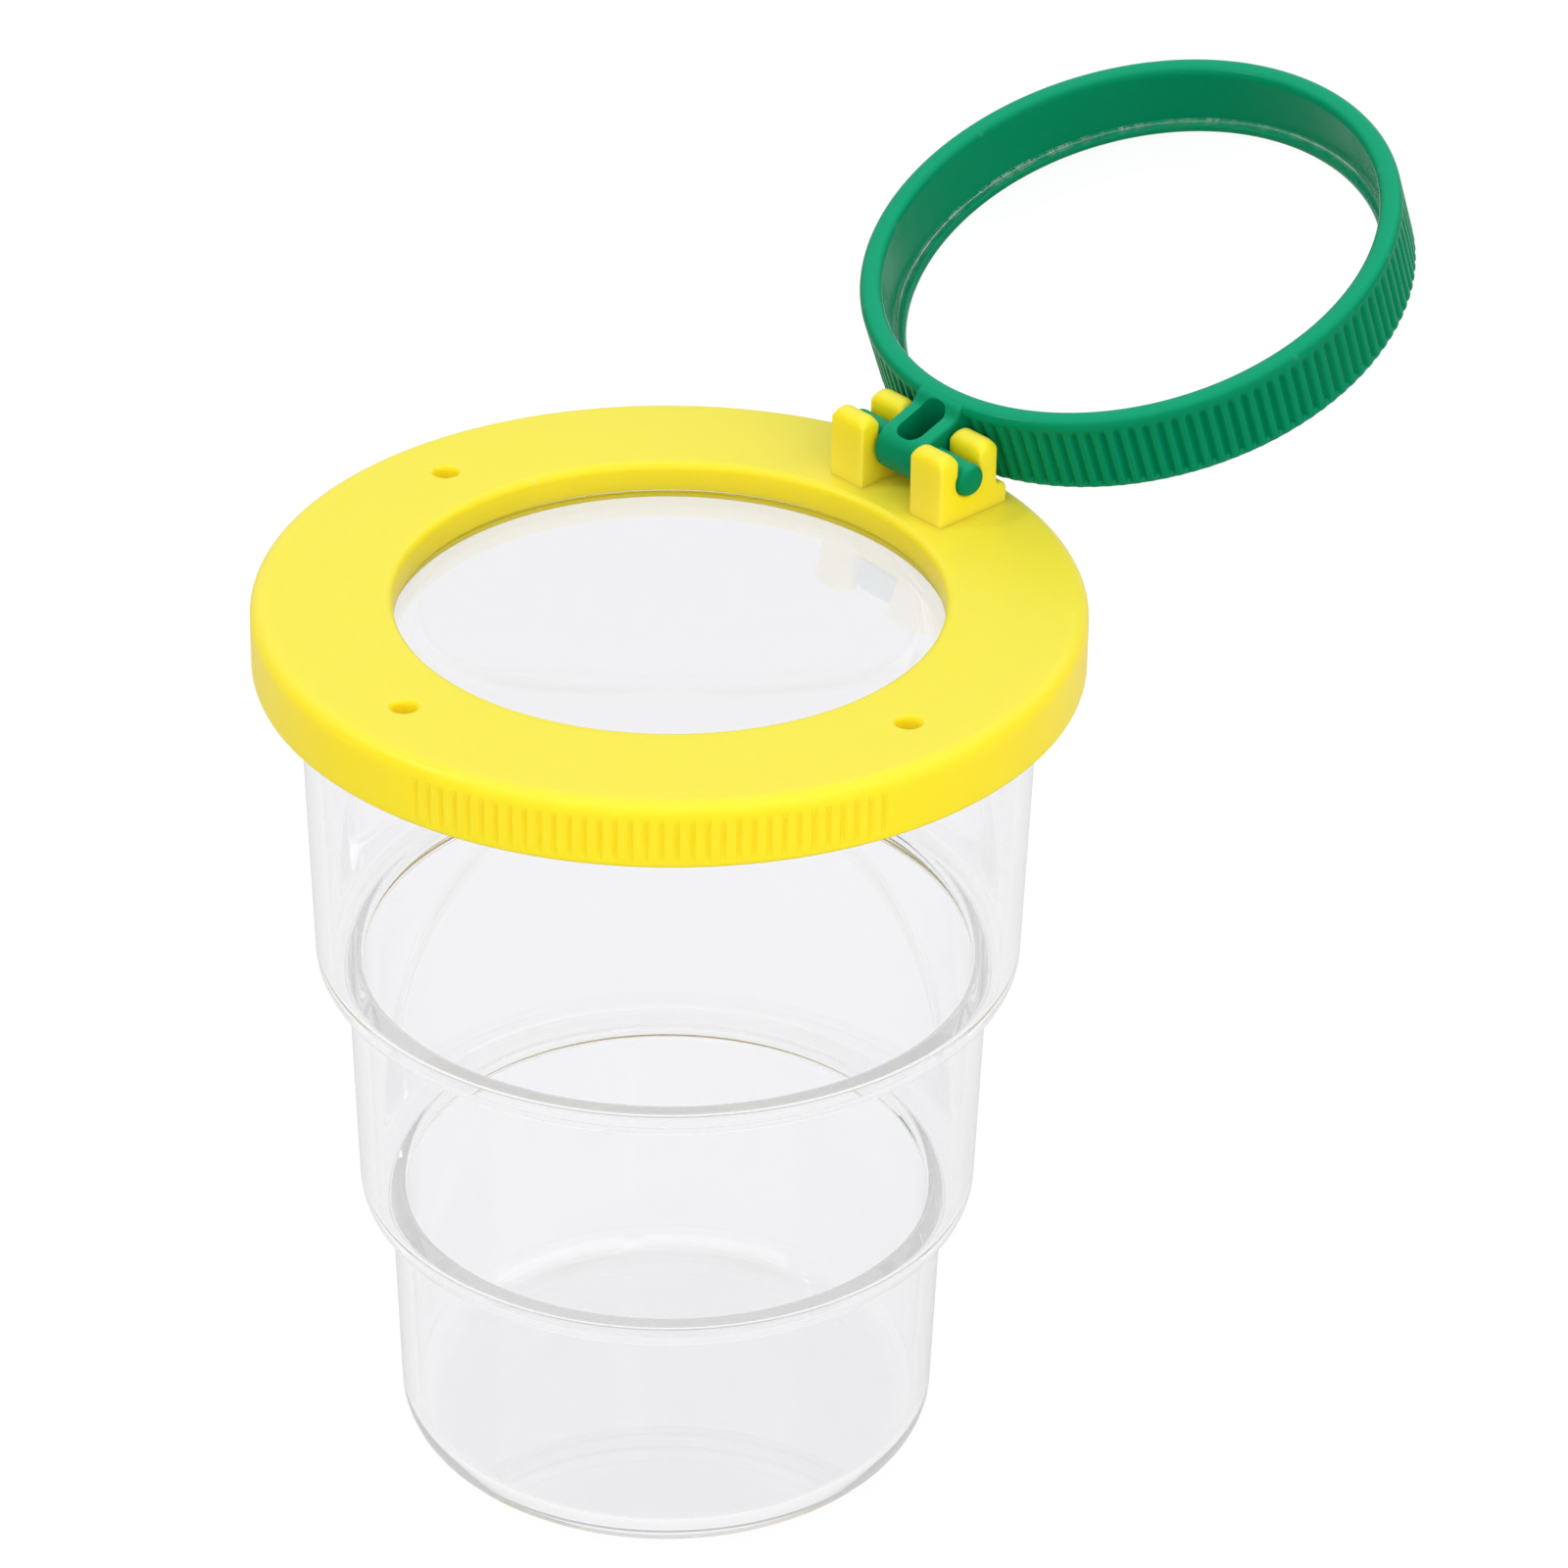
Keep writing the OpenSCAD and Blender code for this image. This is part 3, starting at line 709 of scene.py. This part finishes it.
class JAR_OT_lid(Operator):
    """Spins the lid with its finger grips, cuts the air holes and adds the two clips"""

    bl_idname = "bug_jar.lid"
    bl_label = "Lid with Clips"

    def half_section(self, sizes, radius):
        """Corners of the lid's section, measured from its flat top, from the opening outwards."""
        height = in_mm(sizes.height)
        plate = in_mm(sizes.plate)
        skirt = radius - in_mm(sizes.skirt)
        opening = radius - in_mm(sizes.rim_width)
        seat = plate + in_mm(sizes.lip)
        bore = in_mm(LID_LENS_HIGH.x + sizes.lens_fit)
        collar = bore + in_mm(sizes.collar)
        end = in_mm(sizes.collar_height)
        bead = bore - in_mm(sizes.bead)
        bead_top = end - in_mm(sizes.bead_height)
        groove_top = -in_mm(sizes.groove_top)
        groove_end = in_mm(sizes.groove_end)
        groove_low = in_mm(sizes.groove_low) - height
        top_edges = [(opening, 0, 0), (radius, 0, 0)]
        skirt_edges = [(radius, 0, -height), (skirt, 0, -height)]
        grooves = [groove_top, groove_top - groove_end, groove_low + groove_end, groove_low]
        corners = [(opening, 0, -seat)] + top_edges + [(radius, 0, level) for level in grooves]
        corners += skirt_edges + [(skirt, 0, -plate), (collar, 0, -plate), (collar, 0, -end)]
        corners += [(bead, 0, -end), (bead, 0, -bead_top), (bore, 0, -bead_top), (bore, 0, -seat)]
        return corners, top_edges, skirt_edges

    def execute(self, context):
        sizes = context.scene.lid_sizes
        radius = in_mm(LID_HIGH.x)
        top = in_mm(LID_LOW.z + sizes.height)
        corners, top_edges, skirt_edges = self.half_section(sizes, radius)
        piece = draw_line("lens_lid", corners + corners[:1])
        merge_close()
        round_corners(piece, top_edges[:1], in_mm(sizes.opening_round), segments=6)
        round_corners(piece, top_edges[1:], in_mm(sizes.edge_round), segments=8)
        round_corners(piece, skirt_edges, in_mm(sizes.small_round), segments=3)
        self.spin_half(piece, sizes, radius)
        self.cut_vents(piece, sizes)
        place(piece, Matrix.Translation((0, 0, top)))
        clips = make_clips(context.scene.clip_sizes, top)
        piece = join([piece, clips])
        colour = context.scene.finishes.yellow
        # Painted sheen: the paler, lemon colour of the lid's upward faces stands in for light on its top.
        sheen_and_dust = (colour[0] * 0.93, colour[1] * 1.07, colour[2] * 5.2)
        finish = moulded_plastic(
            "Yellow plastic", colour, sheen_and_dust, worn_share=0.35, roughness=0.36, gloss=0.25, glow=0.4,
            glow_radius=(0.004, 0.003, 0.0006))
        hand_over(piece, finish, "lid", "lid")
        return {"FINISHED"}

    def spin_half(self, piece, sizes, radius):
        """Spins one groove, repeats it, adds the plain wall and doubles the half lid."""
        half = in_mm(sizes.groove_half)
        pitch = sizes.groove_pitch
        depth = in_mm(sizes.groove_depth)
        land = pitch * radius / 2 - half
        flank = half * GRIP_FLANK
        choose_all()
        spin_columns([land, flank, half - flank, half - flank, flank, land], radius)
        top = -in_mm(sizes.groove_top + sizes.groove_end) + CLOSE
        low = in_mm(sizes.groove_low + sizes.groove_end - sizes.height) - CLOSE
        for offset, share in zip((0, half - flank), GRIP_SHARES):
            sink = 1 - depth * share / radius

            def in_groove(spot):
                across = abs(math.atan2(spot.y, spot.x) + pitch / 2) * radius
                return abs(across - offset) < CLOSE and low < spot.z < top and spot.xy.length > radius - CLOSE

            choose(piece, "VERT", in_groove)
            bpy.ops.transform.resize(value=(sink, sink, 1), center_override=CENTRE)
        repeat_round(sizes.grooves, pitch)
        span = pitch * sizes.grooves
        choose(piece, "VERT", lambda spot: abs(math.atan2(spot.y, spot.x) + span) < SAME_ANGLE)
        bpy.ops.mesh.spin(steps=sizes.plain_columns, angle=math.pi - span, center=CENTRE, axis=UP)
        repeat_round(2, math.pi)
        tidy_mesh()
        place(piece, Matrix.Rotation(sizes.grip_angle + span / 2, 4, "Z"))

    def cut_vents(self, piece, sizes):
        """Cuts the three air holes, each with a soft upper edge."""
        radius = in_mm(sizes.vent_radius)
        flare = in_mm(sizes.vent_flare)
        depth = in_mm(sizes.plate) + OVERRUN
        section = [
            (0, 0, -depth), (radius, 0, -depth), (radius, 0, -flare), (radius + flare, 0, 0),
            (radius + flare, 0, OVERRUN), (0, 0, OVERRUN)]
        drill = draw_line("air_hole", section)
        round_corners(drill, [section[2]], flare, segments=4)
        spin_round(VENT_COLUMNS)
        to_object_mode(drill)
        drills = [drill]
        for _ in VENT_AZIMUTHS[1:]:
            copy = drill.copy()
            copy.data = drill.data.copy()
            bpy.context.collection.objects.link(copy)
            drills.append(copy)
        reach = Matrix.Translation((in_mm(sizes.vent_place), 0, 0))
        for azimuth, tool in zip(VENT_AZIMUTHS, drills):
            place(tool, Matrix.Rotation(azimuth, 4, "Z") @ reach)
        combine(piece, join(drills), "DIFFERENCE")


def clip_outline(sizes, lid_top, inset, drop):
    """Outline of a clip across the pin, drawn in by the inset, with its tips lowered by the drop."""
    pin_height = in_mm(PIN.z) - lid_top
    reach = in_mm(sizes.reach)
    half_mouth = in_mm(sizes.mouth) / 2
    cradle = in_mm(sizes.cradle) + inset
    tip = (reach - half_mouth) / 2
    tip_height = in_mm(LID_HIGH.z - PIN.z + sizes.tip_rise) - tip
    meet = math.acos((half_mouth + inset) / cradle)
    foot = in_mm(sizes.foot_height) - pin_height
    foot_reach = in_mm(sizes.foot_reach)
    fillet = in_mm(sizes.foot_fillet)
    end_round = in_mm(sizes.foot_round)
    bottom = -pin_height - in_mm(sizes.root)
    prong = [
        (across, height * (1 - drop / tip) + tip_height)
        for across, height in arc((0, 0), tip - inset, math.pi, 0, steps=12)]
    outline = [(inset - reach, bottom)]
    outline += [(across - reach + tip, height) for across, height in prong]
    outline += arc((0, 0), cradle, -math.pi - meet, meet, steps=20)
    outline += [(across + reach - tip, height) for across, height in prong]
    outline += arc((reach + fillet, foot + fillet), fillet + inset, math.pi, math.pi * 1.5, steps=4)
    outline += arc((foot_reach - end_round, foot - end_round), end_round - inset, math.pi / 2, 0, steps=6)
    return outline + [(foot_reach - inset, bottom), (inset - reach, bottom)]


def make_clips(sizes, lid_top):
    """The two clips, each bridged over outlines that shrink towards its two sides."""
    start = in_mm(sizes.inner)
    width = in_mm(sizes.width)
    edge = in_mm(sizes.edge_round)
    corner = in_mm(sizes.tip_round)
    depths = [edge * share for share in CLIP_EDGE_SHARES] + [corner * share for share in CLIP_TIP_SHARES]
    sections = []
    for depth in depths:
        inset = edge - math.sqrt(edge ** 2 - max(0, edge - depth) ** 2)
        drop = corner - math.sqrt(corner ** 2 - (corner - depth) ** 2)
        outline = clip_outline(sizes, lid_top, inset, drop)
        sections += [(start + depth, outline), (start + width - depth, outline)]
    sections.sort(key=lambda section: section[0])
    loops = []
    for side, outline in sections:
        loops.append(draw_line("hinge_clips", [(side, across, height) for across, height in outline]))
        to_object_mode(loops[-1])
    piece = join(loops)
    bpy.ops.object.mode_set(mode="EDIT")
    merge_close()
    sides = [side for side, _ in sections]
    for low, high in zip(sides, sides[1:]):
        choose(piece, "EDGE", lambda spot: low - CLOSE < spot.x < high + CLOSE)
        bpy.ops.mesh.bridge_edge_loops()
    for end in (start, start + width):
        choose(piece, "EDGE", lambda spot: abs(spot.x - end) < CLOSE)
        bpy.ops.mesh.edge_face_add()
    tidy_mesh()
    shift = (-2 * start - width, 0, 0)
    bpy.ops.mesh.duplicate_move(TRANSFORM_OT_translate={"value": shift})
    place(piece, Matrix.Translation(PIN / MM))
    return piece


class JAR_OT_lid_lens(Operator):
    """Spins the large lens that lies in the lid"""

    bl_idname = "bug_jar.lid_lens"
    bl_label = "Lid Lens"

    def execute(self, context):
        sizes = context.scene.lens_sizes
        edge = in_mm(sizes.lid_edge)
        piece = make_lens(
            "lid_lens_glass", in_mm(LID_LENS_HIGH.x), in_mm(sizes.lid_flat), edge,
            in_mm(sizes.lid_dome_up), in_mm(sizes.lid_dome_down), sizes.columns)
        place(piece, Matrix.Translation((0, 0, in_mm(LID_LENS_LOW.z + sizes.lid_dome_down))))
        colours = context.scene.finishes
        finish = clear_plastic(
            "Clear lens plastic", colours.lid_lens, sheen_and_dust=1.0, led=colours.guided,
            scratches=(0.0, 0.02), bending=1.49)
        hand_over(piece, finish, "lid", "lid_lens")
        return {"FINISHED"}


def dome_points(radius, height, level, side):
    """Points of a dome from its middle to its rim; side is 1 for upwards and -1 for downwards."""
    ball = (radius * radius + height * height) / (2 * height)
    points = []
    for step in range(DOME_STEPS + 1):
        out = radius * step / DOME_STEPS
        rise = math.sqrt(ball * ball - out * out) - ball + height
        points.append((out, 0, level + side * rise))
    return points


def make_lens(name, radius, flat, edge, dome_up, dome_down, columns):
    """A lens whose flat rim runs from height 0 to edge, with a dome on each side."""
    low = dome_points(radius - flat, dome_down, 0, -1)
    high = dome_points(radius - flat, dome_up, edge, 1)
    rim = [(radius, 0, 0), (radius, 0, edge)]
    piece = draw_line(name, low + rim + high[::-1])
    round_corners(piece, rim, LENS_ROUND, segments=3)
    spin_round(columns)
    return piece


class JAR_OT_magnifier(Operator):
    """Builds the ribbed ring, its arm with the slot, and its pin"""

    bl_idname = "bug_jar.magnifier"
    bl_label = "Magnifier Ring"

    def execute(self, context):
        sizes = context.scene.magnifier_sizes
        reach = in_mm(PIN.y)
        ring = self.ring(sizes)
        place(ring, Matrix.Translation((0, -reach, 0)))
        arm = self.arm(sizes, reach)
        combine(arm, self.pin(sizes), "UNION")
        combine(ring, arm, "UNION")
        combine(ring, self.slot(sizes), "DIFFERENCE")
        place(ring, on_hinge(sizes))
        colour = context.scene.finishes.green
        # Painted highlight: the brighter green of the ring's upward faces stands in for light falling on
        # them.
        sheen_and_dust = (0.01, colour[1] * 1.62, colour[2] * 1.88)
        finish = moulded_plastic(
            "Green plastic", colour, sheen_and_dust, worn_share=0.08, roughness=0.2, gloss=0.04, glow=0.05,
            glow_radius=(0.001, 0.003, 0.002))
        hand_over(ring, finish, "magnifier", "magnifier_frame")
        return {"FINISHED"}

    def ring(self, sizes):
        """The ring, spun rib by rib about its own axis, with its rim face down."""
        radius = in_mm(RING_HIGH.x)
        bore = radius - in_mm(sizes.ring_wall)
        view = bore - in_mm(sizes.seat_width)
        rim = -in_mm(sizes.arm_half + sizes.rim_rise)
        far = rim + in_mm(sizes.ring_height)
        seat = far - in_mm(sizes.seat_thickness)
        band = rim + in_mm(sizes.rib_band)
        full = band + in_mm(sizes.rib_fade)
        rim_corners = [(bore, 0, rim), (radius, 0, rim)]
        view_corners = [(view, 0, far), (view, 0, seat)]
        end = far - in_mm(sizes.rib_end)
        section = rim_corners + [(radius, 0, band), (radius, 0, (band + full) / 2), (radius, 0, full)]
        section += [(radius, 0, end), (radius, 0, far)]
        section += view_corners + [(bore, 0, seat), (bore, 0, rim)]
        piece = draw_line("magnifier_ring", section)
        merge_close()
        round_corners(piece, rim_corners, in_mm(sizes.rim_round), segments=6)
        round_corners(piece, view_corners, VIEW_ROUND, segments=3)
        round_corners(piece, [(radius, 0, far)], FAR_ROUND, segments=4)
        pitch = FULL_TURN / sizes.ribs
        slice_width = in_mm(sizes.rib_gap) / RIB_SLICES
        land = pitch * radius / 2 - RIB_SLICES / 2 * slice_width
        choose_all()
        spin_columns([land] + [slice_width] * RIB_SLICES + [land], radius)
        depth = in_mm(sizes.rib_depth)
        spans = (((band + full) / 2, (band + full) / 2), (full, end), (end + RIB_EDGE, far - RIB_EDGE))
        for ((low, high), share), column in product(zip(spans, RIB_SHARES), range(RIB_SLICES // 2)):
            sink = 1 - depth * share * math.cos(column * math.pi / RIB_SLICES) ** 2 / radius

            def in_groove(spot):
                across = abs(math.atan2(spot.y, spot.x) + pitch / 2) * radius
                on_wall = spot.xy.length > radius - RIB_REACH
                at_level = low - CLOSE < spot.z < high + CLOSE
                return abs(across - column * slice_width) < CLOSE and on_wall and at_level

            choose(piece, "VERT", in_groove)
            bpy.ops.transform.resize(value=(sink, sink, 1), center_override=CENTRE)
        repeat_round(sizes.ribs, pitch)
        tidy_mesh()
        return piece

    def arm(self, sizes, reach):
        """The arm, round about the pin, with a ramp up to the ring's rim and softened edges."""
        half = in_mm(sizes.arm_half)
        width = in_mm(sizes.arm_width)
        wall = reach - in_mm(RING_HIGH.x)
        length = wall + in_mm(sizes.ring_wall) / 2
        top = in_mm(sizes.rim_rise) - RAMP_SINK
        ramp = in_mm(sizes.ramp_length)
        rise = []
        for step in range(RAMP_STEPS + 1):
            share = step / RAMP_STEPS
            lift = top * (1 - math.cos(math.pi * (1 - share))) / 2
            rise.append((-wall - ramp * (RAMP_IN_RIM - share), -half - lift))
        outline = [(-length, -half - top)] + rise + arc((0, 0), half, -math.pi / 2, math.pi / 2, steps=28)
        outline += [(-length, half)]
        points = [(-width / 2, across, height) for across, height in outline]
        piece = draw_line("magnifier_arm", points)
        choose_all()
        bpy.ops.mesh.edge_face_add()
        bpy.ops.mesh.extrude_region_move(TRANSFORM_OT_translate={"value": (width, 0, 0)})
        tidy_mesh()
        finish_modifier(
            piece, "BEVEL", width=in_mm(sizes.arm_round), segments=4, limit_method="ANGLE",
            angle_limit=BEVEL_ANGLE, use_clamp_overlap=True)
        return piece

    def pin(self, sizes):
        """The pin with its rounded ends."""
        half = in_mm(sizes.pin_half)
        radius = in_mm(sizes.pin_radius)
        section = [(0, 0, -half), (radius, 0, -half), (radius, 0, half), (0, 0, half)]
        piece = draw_line("hinge_pin", section)
        round_corners(piece, section[1:3], in_mm(sizes.pin_round), segments=6)
        spin_round(PIN_COLUMNS)
        place(piece, Matrix.Rotation(math.pi / 2, 4, "Y"))
        return piece

    def slot(self, sizes):
        """The tool that cuts the blind slot, with rounded corners."""
        half = in_mm(sizes.slot_width) / 2
        face = -in_mm(sizes.arm_half)
        start = face - in_mm(sizes.rim_rise) - OVERRUN
        near = in_mm(sizes.slot_near)
        far = -in_mm(sizes.slot_far)
        points = [(-half, near, start), (half, near, start), (half, far, start), (-half, far, start)]
        piece = draw_line("arm_slot", points + [points[0]])
        merge_close()
        round_corners(piece, points, in_mm(sizes.slot_corner), segments=7)
        choose_all()
        bpy.ops.mesh.edge_face_add()
        depth = face + in_mm(sizes.slot_depth) - start
        bpy.ops.mesh.extrude_region_move(TRANSFORM_OT_translate={"value": (0, 0, depth)})
        tidy_mesh()
        to_object_mode(piece)
        return piece


class JAR_OT_magnifier_lens(Operator):
    """Spins the lens that lies in the ring"""

    bl_idname = "bug_jar.magnifier_lens"
    bl_label = "Magnifier Lens"

    def execute(self, context):
        sizes = context.scene.lens_sizes
        ring = context.scene.magnifier_sizes
        edge = in_mm(sizes.glass_edge)
        seat = in_mm(ring.ring_height - ring.arm_half - ring.rim_rise - ring.seat_thickness)
        piece = make_lens(
            "magnifier_glass", in_mm(GLASS_HIGH.x), in_mm(sizes.glass_flat), edge,
            in_mm(sizes.glass_dome_out), in_mm(sizes.glass_dome_in), sizes.columns)
        place(piece, Matrix.Translation((0, -in_mm(PIN.y), seat - edge)))
        place(piece, on_hinge(ring))
        colours = context.scene.finishes
        finish = clear_plastic(
            "Clear magnifier plastic", colours.lens, sheen_and_dust=1.0, led=colours.lens,
            scratches=(0.0, 0.02), bending=1.49)
        hand_over(piece, finish, "magnifier", "magnifier_lens")
        return {"FINISHED"}


class JAR_OT_stage(Operator):
    """Sets the floor, the soft lights and the camera"""

    bl_idname = "bug_jar.stage"
    bl_label = "Studio"

    def execute(self, context):
        self.floor(context)
        self.lights(context)
        self.camera(context)
        context.scene.view_settings.view_transform = "Standard"
        return {"FINISHED"}

    def floor(self, context):
        """A wide pale floor just under the object."""
        bpy.ops.object.select_all(action="DESELECT")
        bpy.ops.mesh.primitive_plane_add(size=FLOOR_SIZE, location=(0, 0, -FLOOR_DROP))
        floor = context.object
        floor.name = "studio_floor"
        bpy.ops.object.transform_apply(location=True, rotation=True, scale=True)
        floor.data.materials.append(studio_floor(context.scene.finishes.floor))

    def lights(self, context):
        """Large soft lamps behind, in front and on the right, a small lamp, and an even pale world."""
        for name, spot, size, power in LAMPS:
            lamp = bpy.data.lights.new(name, "AREA")
            lamp.shape = "SQUARE"
            lamp.size = size
            lamp.energy = power
            holder = bpy.data.objects.new(name, lamp)
            context.collection.objects.link(holder)
            holder.location = spot
            aim = LIT_POINT - Vector(spot)
            holder.rotation_euler = aim.to_track_quat("-Z", "Y").to_euler()
        world = bpy.data.worlds.new("Studio world")
        context.scene.world = world
        world.use_nodes = True
        tree = world.node_tree
        tree.nodes.clear()
        path = add_node(tree, "LightPath", (-900, 200))
        glossy = scale_value(tree, (-600, 0), path.outputs["Is Glossy Ray"], low=0.66, high=0.8)
        seen = add_node(tree, "Math", (-600, 300), operation="MAXIMUM")
        strength = add_node(tree, "Mix", (-300, 200), b=1.04)
        sky = add_node(tree, "Background", (0, 0))
        output = add_node(tree, "OutputWorld", (300, 0))
        tree.links.new(glossy, strength.inputs["A"])
        wire(
            tree, (path, "Is Camera Ray", seen, 0), (path, "Is Transmission Ray", seen, 1),
            (seen, "Value", strength, "Factor"), (strength, "Result", sky, "Strength"),
            (sky, "Background", output, "Surface"))

    def camera(self, context):
        """A long lens at the angle from which the object was seen."""
        view = context.scene.studio_view
        flat = math.cos(view.elevation)
        back = Vector((
            flat * math.cos(view.azimuth), flat * math.sin(view.azimuth), math.sin(view.elevation)))
        level = Vector((-math.sin(view.azimuth), math.cos(view.azimuth), 0))
        right = level * math.cos(view.roll) + back.cross(level) * math.sin(view.roll)
        matrix = Matrix((right, back.cross(right), back)).transposed().to_4x4()
        matrix.translation = Vector(view.aim) + back * view.distance
        camera = bpy.data.objects.new("Camera", bpy.data.cameras.new("Camera"))
        context.collection.objects.link(camera)
        camera.matrix_world = matrix
        camera.data.sensor_width = 36
        camera.data.lens = view.focal_length
        camera.data.clip_start = 0.01
        camera.data.clip_end = 30
        context.scene.camera = camera


class JAR_PT_panel(Panel):
    """Lists the steps that build the jar"""

    bl_idname = "JAR_PT_panel"
    bl_label = "Bug Catcher Jar"
    bl_space_type = "VIEW_3D"
    bl_region_type = "UI"
    bl_category = "Bug Jar"

    def draw(self, context):
        for step in STEPS:
            self.layout.operator(step.bl_idname)
        for name in GROUPS:
            group = getattr(context.scene, name)
            box = self.layout.box()
            box.label(text=name.replace("_", " ").capitalize())
            for key in group.__annotations__:
                box.prop(group, key, text=key.replace("_", " ").capitalize())


STEPS = (JAR_OT_cup, JAR_OT_lid, JAR_OT_lid_lens, JAR_OT_magnifier, JAR_OT_magnifier_lens, JAR_OT_stage)
GROUPS = {
    "jar_sizes": JarSizes,
    "lid_sizes": LidSizes,
    "clip_sizes": ClipSizes,
    "magnifier_sizes": MagnifierSizes,
    "lens_sizes": LensSizes,
    "finishes": Finishes,
    "studio_view": StudioView,
}


def register():
    """Adds the sizes, the steps and the panel to Blender."""
    for name, group in GROUPS.items():
        bpy.utils.register_class(group)
        setattr(bpy.types.Scene, name, PointerProperty(type=group))
    for step in STEPS:
        bpy.utils.register_class(step)
    bpy.utils.register_class(JAR_PT_panel)


def unregister():
    """Takes the panel, the steps and the sizes away again."""
    bpy.utils.unregister_class(JAR_PT_panel)
    for step in reversed(STEPS):
        bpy.utils.unregister_class(step)
    for name, group in reversed(GROUPS.items()):
        delattr(bpy.types.Scene, name)
        bpy.utils.unregister_class(group)


def main():
    """Builds the whole scene."""
    register()
    bpy.ops.bug_jar.cup()
    bpy.ops.bug_jar.lid()
    bpy.ops.bug_jar.lid_lens()
    bpy.ops.bug_jar.magnifier()
    bpy.ops.bug_jar.magnifier_lens()
    bpy.ops.bug_jar.stage()


if __name__ == "__main__":
    main()
